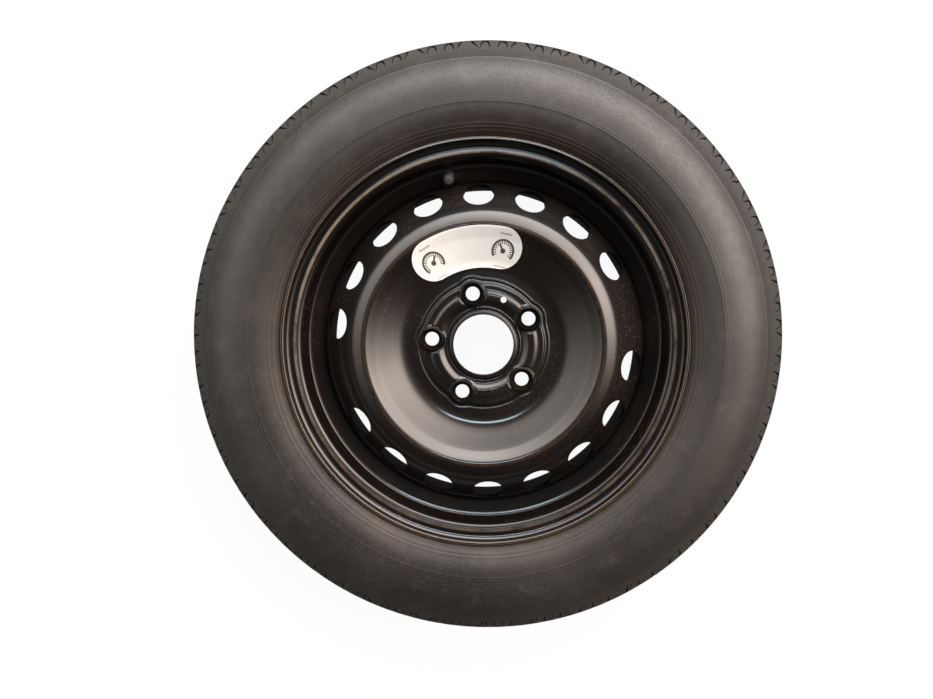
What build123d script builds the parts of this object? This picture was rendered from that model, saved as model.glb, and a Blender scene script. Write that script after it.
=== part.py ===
from build123d import *
import os
from math import asin, atan2, cos, hypot, radians, sin, sqrt, tan

os.makedirs("parts", exist_ok=True)

# Driving dimensions, in millimetres and degrees.
# The wheel lies flat: +Z is its axis and points outboard, +Y points at the valve.
# z = 0 is the face that bolts against the car's hub.
overrun = 10.0             # how far every cut runs past the metal it goes through

# Rim: rolled steel, drop centre, J flanges
bead_seat_d = 405.6
rim_width = 101.6          # between the flanges, at the bead heels
wheel_offset = 40.0        # from the rim's middle plane out to the hub face
rim_sheet = 2.6
flange_height = 17.5
flange_curve_r = 9.5
flange_tip = 2.2           # straight edge past the flange's curve
heel_r = 5.0
seat_taper = 5.0
seat_length = 15.0
hump_height = 1.2
hump_width = 8.0
hump_r = 4.0
well_depth = 21.3
well_lean = 19.4           # outboard well wall, from the wheel's plane
well_ramp = 16.0           # axial run of the inboard well wall
well_top_r = 7.0
well_floor_r = 5.0

# Disc: pressed steel
disc_sheet = 4.0
bore_d = 66.1
collar_height = 9.0
collar_r = 3.0
hub_land = 17.5            # from the bolt channel to the foot of the dish
dish_slope = 31.0
dish_foot_fillet = 28.0
upper_slope = 37.0         # steeper band of the dish, below the ridge
upper_run = 12.8
upper_fillet = 25.0
crown_r = 129.8            # radius of the ridge
crown_fillet = 7.0
brow_slope = 16.0          # gentle fall outside the ridge
brow_run = 10.2
brow_fillet = 22.0
flank_slope = 44.0
skirt_fillet = 18.0
skirt_past_middle = 8.0    # how far the skirt reaches inboard of the rim's middle plane
disc_fit = 0.05            # between skirt and rim well

# Hub pad: raised bolt channel with five conical seats
bolt_circle_d = 114.3
bolt_count = 5
bolt_hole_d = 15.4
seat_cone = 30.0           # half angle
seat_top_d = 24.0
boss_height = 2.5
boss_wall = 1.2
bolt_land = 1.5            # straight wall of the bolt hole below its cone
channel_height = 3.0
channel_inner_d = 88.0
channel_draft = 60.0
lobe_r = 16.5
lobe_proud = 3.15          # how far the lobes stand out of the channel's round outline
lobe_fillet = 6.0
crest_d = 106.0            # ring ridge round the hub pad, between the bolt seats
crest_rise = 1.3
crest_inner_run = 4.2
crest_outer_run = 7.4
trough_d = 122.0
trough_depth = 0.7
trough_lip = 3.4           # from the trough's floor out to its lip
hub_root = 0.9             # how deep the ridge and bosses stand in the channel's top
locating_hole_d = 6.6
locating_hole_radius = 53.9

# Vent holes
vent_d = 33.4
vent_circle_d = 323.6
vent_pitch = 20.0
vent_per_side = 4          # on each side of the valve, and as many opposite

# Welds between skirt and rim well
weld_leg = 3.4
weld_angle = 52.0
weld_count = 4

# Tyre
tyre_od = 661.0
section_width = 147.0
widest_d = 506.0
tread_width = 78.0
tread_crown_r = 200.0
shoulder_r = 6.0
buttress_height = 15.0
buttress_out = 10.6
buttress_step = 1.8
bead_rise = 3.2            # where the sidewall clears the flange
bead_width = 14.0
bead_fit = 0.15
heel_relief = 0.6          # how much rounder the bead's heel is than the rim's
flange_wrap = 60.0
bead_core_height = 20.0
bead_core_width = 11.5
sidewall = 5.5
shoulder_wall = 8.0
tread_wall = 10.5
groove_count = 3
groove_pitch = 20.0
groove_width = 6.0
groove_depth = 4.5
notch_groups = 35          # round each shoulder: two arches between two slashes
arch_width = 10.4
arch_top_width = 5.4
arch_height = 7.2
arch_places = (0.24, 0.565)
slash_length = 6.4
slash_lean = 2.3
slash_places = (0.045, 0.765)
notch_foot = 8.2           # from the foot of the buttress, along it
notch_width = 1.8
notch_depth = 3.0

# Speed label: a bean-shaped sticker on the dish
label_circle_d = 212.2
label_width = 43.4
label_angle = 41.5
label_turn = -1.8          # its middle, from the valve
label_thickness = 0.25
label_gap = 0.15

# Tyre valve: rubber body moulded on a brass stem
valve_hole_d = 11.5
valve_tip = 31.0           # stem tip, from the middle of the rim sheet
rubber_top = 19.5
rubber_top_d = 9.4
rubber_button_d = 14.6
rubber_button = 4.5
rubber_collar_d = 14.4
rubber_collar = 3.5
rubber_neck_d = 11.6
rubber_round = 1.0
rubber_fit = 0.04
stem_d = 5.8
stem_thread_d = 7.7
stem_bottom = -7.0
stem_chamfer = 0.6
core_bore_d = 5.3
core_bore_depth = 6.0
seat_bore_d = 3.9
seat_taper_length = 2.0
seat_bore_depth = 20.0
air_hole_d = 2.6

# Valve core
core_fit = 0.05
pin_hole_fit = 0.15
plug_below_tip = 0.8
plug_length = 4.2
plug_head = 1.6
plug_flats = 3.2
plug_hole_d = 1.5
barrel_length = 6.5
barrel_d = 3.4
barrel_bore_d = 2.5
barrel_floor = 1.2
pin_d = 0.8
pin_below_tip = 0.4
pin_travel = 1.5
pin_collar_d = 2.0
pin_collar = 0.5
pin_collar_depth = 1.3     # below the barrel's top
spring_wire_d = 0.26
spring_turns = 4.5
spring_d = 1.6             # at the middle of the wire
seal_thickness = 0.8
cup_d = 3.1
cup_height = 1.4
cup_wall = 0.25
gasket_length = 1.6
gasket_drop = 0.4

# Valve cap
cap_d = 10.2
cap_top_d = 7.0
cap_top = 2.2
cap_wall_top = 1.6
cap_fit = 0.08
cap_foot_gap = 0.4
cap_ribs = 12
cap_rib_d = 1.2
cap_seal = 1.2
cap_seal_gap = 0.03

# Derived places
middle_z = -wheel_offset
seat_r = bead_seat_d / 2
lip_r = seat_r + flange_height
flange_z = rim_width / 2
half_rim = rim_sheet / 2
half_disc = disc_sheet / 2
well_inner_r = seat_r - well_depth - rim_sheet
hub_top_z = disc_sheet
bolt_r = bolt_circle_d / 2
channel_outer_r = bolt_r + lobe_r - lobe_proud
dish_foot_r = channel_outer_r + hub_land
tyre_r = tyre_od / 2
half_tread = tread_width / 2
tread_edge_r = tyre_r - tread_crown_r + sqrt(tread_crown_r**2 - half_tread**2)
buttress_foot = (tread_edge_r - buttress_height, half_tread + buttress_out)


def shifted_corners(points, radii, shift):
    """Corners and radii of a polyline moved sideways, to its left, by shift."""
    corners = [Vector(*point) for point in points]
    runs = [(b - a).normalized() for a, b in zip(corners, corners[1:])]
    lefts = [Vector(-run.Y, run.X) for run in runs]
    moved = [corners[0] + lefts[0] * shift]
    new_radii = []
    for corner, before, after, radius in zip(corners[1:-1], lefts, lefts[1:], radii):
        moved.append(corner + (before + after) * (shift / (1 + before.dot(after))))
        turn_left = before.cross(after).Z > 0
        new_radii.append(radius - shift if turn_left else radius + shift)
    moved.append(corners[-1] + lefts[-1] * shift)
    return moved, new_radii


def sheet_face(points, radii, thickness, lift=0.0):
    """Section of a bent sheet whose middle lies to the left of a line by lift."""
    left, left_radii = shifted_corners(points, radii, lift + thickness / 2)
    right, right_radii = shifted_corners(points, radii, lift - thickness / 2)
    one = FilletPolyline(*left, radius=left_radii)
    other = FilletPolyline(*right, radius=right_radii)
    return make_face(Curve() + [one, other, Line(one @ 0, other @ 0), Line(one @ 1, other @ 1)])


def turned(section, arc=360):
    """Revolve a section drawn with radius as x and height as y about the wheel's axis."""
    return revolve(Plane.XZ * section, Axis.Z, arc)


def turned_points(*points):
    return turned(make_face(Polyline(*points, close=True)))


def ring(inner_r, outer_r, low, high):
    return turned_points((inner_r, low), (outer_r, low), (outer_r, high), (inner_r, high))


def on_wheel(angle, radius, height=0.0):
    """Place at an angle from the valve, counted anticlockwise seen from outboard."""
    return Rot(0, 0, 90 + angle) * Pos(radius, 0, height)


# Rim section, as its line of middle thickness from the outboard lip to the inboard lip
def rim_side(side):
    """Corners and radii from one lip to the edge of the well, side +1 outboard."""
    seat_end = flange_z - seat_length
    seat_drop = (seat_length + half_rim) * tan(radians(seat_taper))
    edge_r = seat_r - half_rim - seat_drop
    corners = [
        (lip_r - half_rim, flange_z + flange_curve_r + flange_tip),
        (lip_r - half_rim, flange_z + half_rim),
        (seat_r - half_rim, flange_z + half_rim),
        (edge_r, seat_end),
        (edge_r + hump_height, seat_end - hump_width / 2),
        (edge_r, seat_end - hump_width),
    ]
    radii = [flange_curve_r - half_rim, heel_r + half_rim, hump_r, hump_r, well_top_r]
    return [(r, middle_z + side * z) for r, z in corners], radii


outboard, outboard_radii = rim_side(1)
inboard, inboard_radii = rim_side(-1)
well_middle_r = well_inner_r + half_rim
well_top = outboard[-1]
well_floor_z = well_top[1] - (well_top[0] - well_middle_r) * tan(radians(well_lean))
ramp_foot = (well_middle_r, inboard[-1][1] + well_ramp)
rim_line = outboard + [(well_middle_r, well_floor_z), ramp_foot] + inboard[::-1]
rim_radii = outboard_radii + [well_floor_r, well_floor_r] + inboard_radii[::-1]

# The valve stands square on the outboard well wall, at the middle of its straight run
wall_length = hypot(well_top[0] - well_middle_r, well_top[1] - well_floor_z)
wall_dir = ((well_middle_r - well_top[0]) / wall_length, (well_floor_z - well_top[1]) / wall_length)
valve_r = well_top[0] + wall_dir[0] * wall_length / 2
valve_z = well_top[1] + wall_dir[1] * wall_length / 2
valve_plane = Plane(
    origin=(0, valve_r, valve_z),
    x_dir=(1, 0, 0),
    z_dir=(0, -sin(radians(well_lean)), cos(radians(well_lean))),
)


def on_valve(part):
    """Move a piece drawn about the valve's own axis to its place in the rim."""
    return valve_plane.location * part


def make_rim():
    rim = turned(sheet_face(rim_line, rim_radii, rim_sheet))
    return rim - on_valve(Cylinder(valve_hole_d / 2, 2 * overrun))


# Disc section, from the bore's collar over the dish, ridge and flank to the skirt's end
skirt_r = well_inner_r - disc_fit - half_disc
upper_r = crown_r - upper_run
upper_z = half_disc + (upper_r - dish_foot_r) * tan(radians(dish_slope))
crown_z = upper_z + upper_run * tan(radians(upper_slope))
brow_r = crown_r + brow_run
brow_z = crown_z - brow_run * tan(radians(brow_slope))
flank_end_z = brow_z - (skirt_r - brow_r) * tan(radians(flank_slope))
skirt_end_z = middle_z - skirt_past_middle
dish_line = [
    (bore_d / 2 + half_disc, half_disc),
    (dish_foot_r, half_disc),
    (upper_r, upper_z),
    (crown_r, crown_z),
    (brow_r, brow_z),
]
dish_radii = [dish_foot_fillet, upper_fillet, crown_fillet]
bore_lip = (bore_d / 2 + half_disc, collar_height)
disc_line = [bore_lip] + dish_line + [(skirt_r, flank_end_z), (skirt_r, skirt_end_z)]
disc_radii = [collar_r] + dish_radii + [brow_fillet, skirt_fillet]


def channel_outline(inset, height):
    """Lobed outline of the bolt channel, drawn in by inset."""
    outline = Circle(channel_outer_r - inset)
    outline += PolarLocations(bolt_r, bolt_count, start_angle=90) * Circle(lobe_r - inset)
    return Pos(0, 0, height) * fillet(outline.vertices(), lobe_fillet + inset)


def channel_block(base_z):
    """Raised channel with sloping sides, standing on base_z."""
    top_z = base_z + channel_height
    inset = channel_height * tan(radians(channel_draft))
    block = loft([channel_outline(0, base_z), channel_outline(inset, top_z)], ruled=True)
    inner_r = channel_inner_d / 2
    return block - turned_points(
        (0, base_z), (inner_r, base_z), (inner_r + inset, top_z), (0, top_z)
    )


def bolt_seats():
    """Boss round each bolt hole, and what is cut out of it: cone and hole."""
    top_z = hub_top_z + channel_height + boss_height
    cone_depth = (seat_top_d - bolt_hole_d) / 2 / tan(radians(seat_cone))
    hole_r = bolt_hole_d / 2
    rim_r = seat_top_d / 2
    low_z = top_z - cone_depth - bolt_land
    boss = turned_points(
        (0, low_z),
        (hole_r + boss_wall, low_z),
        (rim_r + boss_wall, top_z - boss_height - hub_root),
        (rim_r + boss_wall / 2, top_z),
        (0, top_z),
    )
    cut = turned_points(
        (0, low_z - overrun),
        (hole_r, low_z - overrun),
        (hole_r, top_z - cone_depth),
        (rim_r, top_z),
        (rim_r, top_z + overrun),
        (0, top_z + overrun),
    )
    places = PolarLocations(bolt_r, bolt_count, start_angle=90)
    return places * boss, places * cut


def hub_ridge():
    """Trough round the bolt channel's top, and the ring ridge pressed up inside it."""
    top_z = hub_top_z + channel_height
    crest_r = crest_d / 2
    trough_r = trough_d / 2
    trough = turned_points(
        (crest_r, top_z - trough_depth),
        (trough_r, top_z - trough_depth),
        (trough_r + 2 * trough_lip, top_z + trough_depth),
        (crest_r, top_z + trough_depth),
    )
    ridge = turned_points(
        (crest_r - crest_inner_run, top_z - hub_root),
        (crest_r, top_z + crest_rise),
        (crest_r + crest_outer_run, top_z - hub_root),
    )
    return trough, ridge


def vent_cutters():
    """Holes square to the flank, four on each quarter beside the valve and opposite it."""
    vent_r = vent_circle_d / 2
    vent_z = brow_z - (vent_r - brow_r) * tan(radians(flank_slope))
    cutter = Cylinder(vent_d / 2, 2 * overrun)
    cutters = []
    for facing in (0, 180):
        for index in range(2 * vent_per_side):
            angle = facing + vent_pitch * (index - vent_per_side + 0.5)
            cutters.append(on_wheel(angle, vent_r, vent_z) * Rot(0, flank_slope, 0) * cutter)
    return cutters


def make_disc():
    disc = turned(sheet_face(disc_line, disc_radii, disc_sheet))
    bore_r = bore_d / 2
    register = collar_r + half_disc
    disc += turned_points((bore_r, 0), (bore_r + register, 0), (bore_r, register))
    bosses, seats = bolt_seats()
    trough, ridge = hub_ridge()
    disc = disc - channel_block(0) + channel_block(hub_top_z) - trough + ridge
    disc = disc + bosses - seats
    locating = on_wheel(-180 / bolt_count, locating_hole_radius)
    disc -= locating * Cylinder(locating_hole_d / 2, 2 * overrun)
    return disc - vent_cutters()


def make_welds():
    """Fillet welds in the corner between the skirt's end and the rim well."""
    outer_r = well_inner_r - disc_fit
    corner = make_face(Polyline(
        (outer_r, skirt_end_z), (outer_r, skirt_end_z - weld_leg), (outer_r - weld_leg, skirt_end_z),
        close=True,
    ))
    bead = turned(corner, weld_angle)
    step = 360 / weld_count
    return [Rot(0, 0, step * index) * bead for index in range(weld_count)]


# Tyre section, drawn for the outboard half and mirrored
def tyre_half():
    crown_turn = asin(half_tread / tread_crown_r) / 2
    crown_mid = (
        tyre_r - tread_crown_r * (1 - cos(crown_turn)),
        tread_crown_r * sin(crown_turn),
    )
    foot = buttress_foot
    side_top = (foot[0] - buttress_step, foot[1] + buttress_step)
    widest = (widest_d / 2, section_width / 2)
    side_foot = (lip_r + bead_rise, flange_z + flange_curve_r)

    wrap_r = flange_curve_r + bead_fit
    wrap_centre = (lip_r - flange_curve_r, flange_z + flange_curve_r)

    def on_flange(turn):
        angle = radians(turn)
        return (wrap_centre[0] + wrap_r * sin(angle), wrap_centre[1] - wrap_r * cos(angle))

    slope = tan(radians(seat_taper))
    heel = (seat_r + bead_fit, flange_z - bead_fit)
    toe = (heel[0] - bead_width * slope, heel[1] - bead_width)
    core_top = (heel[0] + bead_core_height, side_foot[1] - bead_core_width)
    inner_widest = (widest[0], widest[1] - sidewall)
    inner_shoulder = (foot[0] - shoulder_wall, foot[1] - shoulder_wall / 2)
    inner_crown = tyre_r - tread_wall
    rise = inner_crown - inner_shoulder[0]
    crown_inner_r = (rise**2 + inner_shoulder[1]**2) / (2 * rise)
    half_turn = asin(inner_shoulder[1] / crown_inner_r) / 2
    inner_mid = (
        inner_crown - crown_inner_r * (1 - cos(half_turn)),
        crown_inner_r * sin(half_turn),
    )
    return Curve() + [
        ThreePointArc((tyre_r, 0), crown_mid, (tread_edge_r, half_tread)),
        Polyline((tread_edge_r, half_tread), foot, side_top),
        TangentArc(widest, side_top, tangent=(1, 0)),
        TangentArc(widest, side_foot, tangent=(-1, 0)),
        Line(side_foot, on_flange(flange_wrap)),
        ThreePointArc(on_flange(flange_wrap), on_flange(flange_wrap / 2), on_flange(0)),
        FilletPolyline(on_flange(0), heel, toe, radius=heel_r + heel_relief),
        Line(toe, core_top),
        TangentArc(inner_widest, core_top, tangent=(-1, 0)),
        TangentArc(inner_widest, inner_shoulder, tangent=(1, 0)),
        ThreePointArc(inner_shoulder, inner_mid, (inner_crown, 0)),
    ]


def notch_cutters():
    """Arches and slashes cut square into the outboard buttress, all round."""
    rise = atan2(buttress_out, buttress_height)
    buttress = Plane(
        origin=(buttress_foot[0], 0, middle_z + buttress_foot[1]),
        x_dir=(0, -1, 0),
        z_dir=(sin(rise), 0, cos(rise)),
    )
    half_wide = arch_width / 2
    half_top = arch_top_width / 2
    knee = arch_height - notch_width
    arch = make_face(Polyline(
        (-half_wide, 0),
        (-half_top - notch_width, knee),
        (-half_top, arch_height),
        (half_top, arch_height),
        (half_top + notch_width, knee),
        (half_wide, 0),
        (half_wide - notch_width, 0),
        (half_top, knee),
        (-half_top, knee),
        (-half_wide + notch_width, 0),
        close=True,
    ))
    low = Pos(0, notch_foot, -notch_depth)
    cutters = []
    for share in arch_places:
        cutters.append((share, extrude(low * arch, 2 * notch_depth)))
    for share, lean in zip(slash_places, (slash_lean, -slash_lean)):
        slash = make_face(Polyline(
            (-lean - notch_width / 2, 0),
            (-lean + notch_width / 2, 0),
            (lean + notch_width / 2, slash_length),
            (lean - notch_width / 2, slash_length),
            close=True,
        ))
        cutters.append((share, extrude(low * slash, 2 * notch_depth)))
    step = 360 / notch_groups
    return [
        Rot(0, 0, step * (index + share)) * (buttress.location * cutter)
        for index in range(notch_groups)
        for share, cutter in cutters
    ]


def make_tyre():
    half = tyre_half()
    section = make_face(half + mirror(half, Plane.XZ))
    tread_edges = section.vertices().filter_by_position(
        Axis.X, tyre_r - half_tread, tyre_r - shoulder_r / 4
    )
    edges = [corner for corner in tread_edges if abs(abs(corner.Y) - half_tread) < bead_fit]
    section = Pos(0, middle_z) * fillet(edges, shoulder_r)
    tyre = turned(section)
    for index in range(groove_count):
        z = groove_pitch * (index - (groove_count - 1) / 2)
        floor_r = tyre_r - groove_depth
        low = middle_z + z - groove_width / 2
        tyre -= ring(floor_r, tyre_r + groove_depth, low, low + groove_width)
    notches = notch_cutters()
    tyre -= notches
    tyre -= [mirror(cutter, Plane.XY.offset(middle_z)) for cutter in notches]
    return tyre


def make_label():
    """Thin skin of the dish, cut to a bean outline."""
    lift = half_disc + label_gap + label_thickness / 2
    skin = turned(sheet_face(dish_line, dish_radii, label_thickness, lift))
    arc = CenterArc((0, 0), label_circle_d / 2, 90 + label_turn - label_angle / 2, label_angle)
    return skin & extrude(SlotArc(arc, label_width), crown_z + overrun)


# Valve pieces, drawn about the valve's own axis with the rim sheet's middle at zero
def make_valve_rubber():
    groove_r = valve_hole_d / 2 - rubber_fit
    low = -half_rim - rubber_fit
    high = half_rim + rubber_fit
    inner_r = stem_d / 2 + rubber_fit
    return on_valve(turned_points(
        (inner_r, low - rubber_button),
        (rubber_button_d / 2 - rubber_round, low - rubber_button),
        (rubber_button_d / 2, low - rubber_button + rubber_round),
        (rubber_button_d / 2, low),
        (groove_r, low),
        (groove_r, high),
        (rubber_collar_d / 2, high),
        (rubber_neck_d / 2, high + rubber_collar),
        (rubber_top_d / 2, rubber_top - rubber_round),
        (rubber_top_d / 2 - rubber_round, rubber_top),
        (inner_r, rubber_top),
    ))


def make_valve_stem():
    outer = turned_points(
        (0, stem_bottom),
        (stem_d / 2, stem_bottom),
        (stem_d / 2, rubber_top + rubber_fit),
        (stem_thread_d / 2, rubber_top + rubber_fit),
        (stem_thread_d / 2, valve_tip - stem_chamfer),
        (stem_thread_d / 2 - stem_chamfer, valve_tip),
        (0, valve_tip),
    )
    bore = turned_points(
        (0, stem_bottom - overrun),
        (air_hole_d / 2, stem_bottom - overrun),
        (air_hole_d / 2, valve_tip - seat_bore_depth),
        (seat_bore_d / 2, valve_tip - seat_bore_depth),
        (seat_bore_d / 2, valve_tip - core_bore_depth - seat_taper_length),
        (core_bore_d / 2, valve_tip - core_bore_depth),
        (core_bore_d / 2, valve_tip + overrun),
        (0, valve_tip + overrun),
    )
    return on_valve(outer - bore)


plug_top = valve_tip - plug_below_tip
plug_bottom = plug_top - plug_length
barrel_top = plug_bottom - core_fit
barrel_bottom = barrel_top - barrel_length
collar_top = barrel_top - pin_collar_depth
spring_top = collar_top - pin_collar - core_fit
spring_bottom = barrel_bottom + barrel_floor + core_fit
seal_top = barrel_bottom - core_fit
seal_bottom = seal_top - seal_thickness
cup_bottom = seal_bottom - cup_height + cup_wall
pin_r = pin_d / 2


def make_core_plug():
    plug = ring(plug_hole_d / 2, core_bore_d / 2 - core_fit, plug_bottom, plug_top)
    for side in (-1, 1):
        flat = Box(core_bore_d, core_bore_d, plug_head)
        plug -= Pos(0, side * (plug_flats + core_bore_d) / 2, plug_top - plug_head / 2) * flat
    return on_valve(plug)


def make_core_barrel():
    return on_valve(turned_points(
        (barrel_bore_d / 2, barrel_top),
        (barrel_d / 2, barrel_top),
        (barrel_d / 2, barrel_bottom),
        (pin_r + pin_hole_fit, barrel_bottom),
        (pin_r + pin_hole_fit, barrel_bottom + barrel_floor),
        (barrel_bore_d / 2, barrel_bottom + barrel_floor),
    ))


def make_core_gasket():
    """Tapered ring between the barrel and the conical seat of the stem."""
    top = valve_tip - core_bore_depth + core_fit - gasket_drop
    taper = (core_bore_d - seat_bore_d) / 2 / seat_taper_length
    top_r = core_bore_d / 2 - taper * gasket_drop - 2 * core_fit
    inner_r = barrel_d / 2 + core_fit
    return on_valve(turned_points(
        (inner_r, top - gasket_length),
        (top_r - taper * gasket_length, top - gasket_length),
        (top_r, top),
        (inner_r, top),
    ))


def make_core_pin():
    return on_valve(turned_points(
        (0, cup_bottom),
        (pin_r, cup_bottom),
        (pin_r, spring_top + core_fit),
        (pin_collar_d / 2, spring_top + core_fit),
        (pin_collar_d / 2, collar_top),
        (pin_r, collar_top),
        (pin_r, valve_tip - pin_below_tip),
        (0, valve_tip - pin_below_tip),
    ))


def make_core_spring():
    height = spring_top - spring_bottom - spring_wire_d
    coil = Helix(height / spring_turns, height, spring_d / 2)
    wire = Plane(origin=coil @ 0, z_dir=coil % 0) * Circle(spring_wire_d / 2)
    spring = sweep(wire, path=coil, is_frenet=True)
    return on_valve(Pos(0, 0, spring_bottom + spring_wire_d / 2) * spring)


def make_core_seat_seal():
    outer_r = cup_d / 2 - cup_wall - core_fit
    return on_valve(ring(pin_r + core_fit, outer_r, seal_bottom, seal_top))


def make_core_cup():
    """Cup fixed on the pin's end, open towards the barrel."""
    lip = seal_bottom + seal_thickness / 2
    return on_valve(turned_points(
        (pin_r + core_fit / 2, cup_bottom),
        (cup_d / 2 - cup_wall, cup_bottom),
        (cup_d / 2, cup_bottom + cup_wall),
        (cup_d / 2, lip),
        (cup_d / 2 - cup_wall, lip),
        (cup_d / 2 - cup_wall, seal_bottom - core_fit),
        (pin_r + core_fit / 2, seal_bottom - core_fit),
    ))


cap_seal_low = valve_tip + cap_seal_gap
cap_roof = cap_seal_low + cap_seal + cap_seal_gap
cap_foot = rubber_top + cap_foot_gap
cap_bore_r = stem_thread_d / 2 + cap_fit


def make_valve_cap():
    top = cap_roof + cap_wall_top
    cap = turned_points(
        (cap_bore_r, cap_foot),
        (cap_d / 2 - cap_rib_d / 2, cap_foot),
        (cap_d / 2 - cap_rib_d / 2, top - cap_top),
        (cap_top_d / 2, top - cap_top / 2),
        (cap_top_d / 2 - cap_rib_d / 2, top),
        (0, top),
        (0, cap_roof),
        (cap_bore_r, cap_roof),
    )
    height = top - cap_top - cap_foot
    rib = Pos(0, 0, cap_foot + height / 2) * Cylinder(cap_rib_d / 2, height)
    cap += PolarLocations(cap_d / 2 - cap_rib_d / 2, cap_ribs) * rib
    return on_valve(cap)


def make_cap_seal():
    outer_r = cap_bore_r - cap_fit
    return on_valve(Pos(0, 0, cap_seal_low + cap_seal / 2) * Cylinder(outer_r, cap_seal))


pieces = {
    "tyre": make_tyre(),
    "rim": make_rim(),
    "wheel_disc": make_disc(),
    "weld_beads": Compound(children=make_welds()),
    "speed_label": make_label(),
    "valve_rubber": make_valve_rubber(),
    "valve_stem": make_valve_stem(),
    "core_plug": make_core_plug(),
    "core_barrel": make_core_barrel(),
    "core_gasket": make_core_gasket(),
    "core_pin": make_core_pin(),
    "core_spring": make_core_spring(),
    "core_cup": make_core_cup(),
    "core_seat_seal": make_core_seat_seal(),
    "valve_cap": make_valve_cap(),
    "cap_seal": make_cap_seal(),
}
for name, piece in pieces.items():
    export_step(piece, f"parts/{name}.step")
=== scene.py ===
import bpy
import bmesh
import math
import numpy as np
from mathutils import Matrix, Vector
from mathutils.geometry import delaunay_2d_cdt


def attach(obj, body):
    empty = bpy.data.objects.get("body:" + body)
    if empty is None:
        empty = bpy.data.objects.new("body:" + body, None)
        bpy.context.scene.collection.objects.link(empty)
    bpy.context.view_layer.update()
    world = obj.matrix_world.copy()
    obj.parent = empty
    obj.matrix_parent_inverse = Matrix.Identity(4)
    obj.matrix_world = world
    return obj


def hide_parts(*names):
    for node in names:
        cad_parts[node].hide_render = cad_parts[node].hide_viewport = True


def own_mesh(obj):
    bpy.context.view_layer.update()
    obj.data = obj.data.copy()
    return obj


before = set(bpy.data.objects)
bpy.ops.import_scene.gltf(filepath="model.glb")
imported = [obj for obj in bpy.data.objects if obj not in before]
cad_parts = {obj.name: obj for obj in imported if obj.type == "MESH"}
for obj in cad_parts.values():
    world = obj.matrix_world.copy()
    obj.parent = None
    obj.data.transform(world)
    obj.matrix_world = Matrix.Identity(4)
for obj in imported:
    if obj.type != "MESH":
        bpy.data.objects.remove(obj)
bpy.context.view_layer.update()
mm = 0.001                     # pieces are drawn in millimetres
print("frame loaded,", len(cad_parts), "nodes")


class Wire:  # a shader socket that can be used in sums
    def __init__(self, tree, socket=None):
        self.tree, self.socket = tree, socket

    def node(self, kind, settings=None, inputs=None, out=0):
        made = self.tree.nodes.new("ShaderNode" + kind)
        for key, value in (settings or {}).items():
            setattr(made, key, value)
        for key, value in (inputs or {}).items():
            if isinstance(value, Wire):
                self.tree.links.new(value.socket, made.inputs[key])
            else:
                made.inputs[key].default_value = value
        return Wire(self.tree, made.outputs[out] if made.outputs else None)

    def maths(self, operation, *values):
        return self.node("Math", {"operation": operation}, dict(enumerate(values)))

    def __add__(self, other):
        return self.maths("ADD", self, other)

    def __radd__(self, other):
        return self.maths("ADD", other, self)

    def __sub__(self, other):
        return self.maths("SUBTRACT", self, other)

    def __rsub__(self, other):
        return self.maths("SUBTRACT", other, self)

    def __mul__(self, other):
        return self.maths("MULTIPLY", self, other)

    def __rmul__(self, other):
        return self.maths("MULTIPLY", other, self)

    def __truediv__(self, other):
        return self.maths("DIVIDE", self, other)

    def __rtruediv__(self, other):
        return self.maths("DIVIDE", other, self)

    def __pow__(self, other):
        return self.maths("POWER", self, other)

    def __rpow__(self, other):
        return self.maths("POWER", other, self)

    def __abs__(self):
        return self.maths("ABSOLUTE", self)

    def sine(self):
        return self.maths("SINE", self)

    def exponent(self):
        return self.maths("EXPONENT", self)

    def fraction(self):
        return self.maths("FRACT", self)

    def arctan(self, other):  # angle whose tangent is this over other
        return self.maths("ARCTAN2", self, other)

    def most(self, other):
        return self.maths("MAXIMUM", self, other)

    def fade(self, low, high):  # 0 below low, 1 above high, eased between
        return self.node("MapRange", {"interpolation_type": "SMOOTHSTEP"}, {0: self, 1: low, 2: high})

    def band(self, low, lowEnd, highStart, high):  # 1 between, eased to 0 at both ends
        return self.fade(low, lowEnd) * (1 - self.fade(highStart, high))

    def tint(self, first, second):  # colour from first to second as this goes from 0 to 1
        return self.node("Mix", {"data_type": "RGBA"}, {0: self, 6: first, 7: second}, 2)

    def noise(self, scale, detail=2.0, rough=0.5):
        inputs = {"Vector": self, "Scale": scale, "Detail": detail, "Roughness": rough}
        return self.node("TexNoise", {}, inputs)

    def stretched(self, x, y, z):
        return self.node("VectorMath", {"operation": "MULTIPLY"}, {0: self, 1: (x, y, z)})


def grey(value):
    return (value, value, value, 1.0)


def newFinish(name):
    made = bpy.data.materials.new(name)
    made.use_nodes = True
    made.node_tree.nodes.clear()
    wire = Wire(made.node_tree)
    return made, wire, wire.node("TexCoord", {}, {}, "Object")


def closeFinish(wire, sockets):
    surface = wire.node("BsdfPrincipled", {}, sockets)
    wire.node("OutputMaterial", {}, {"Surface": surface})


def split(place):  # across, along and up
    outputs = place.node("SeparateXYZ", {}, {0: place}).socket.node.outputs
    return [Wire(place.tree, socket) for socket in outputs]


def fromAxis(x, y):  # distance from the wheel's axis
    return (x * x + y * y) ** 0.5


def bumped(wire, height, strength, distance):
    return wire.node("Bump", {}, {"Height": height, "Strength": strength, "Distance": distance})


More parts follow.
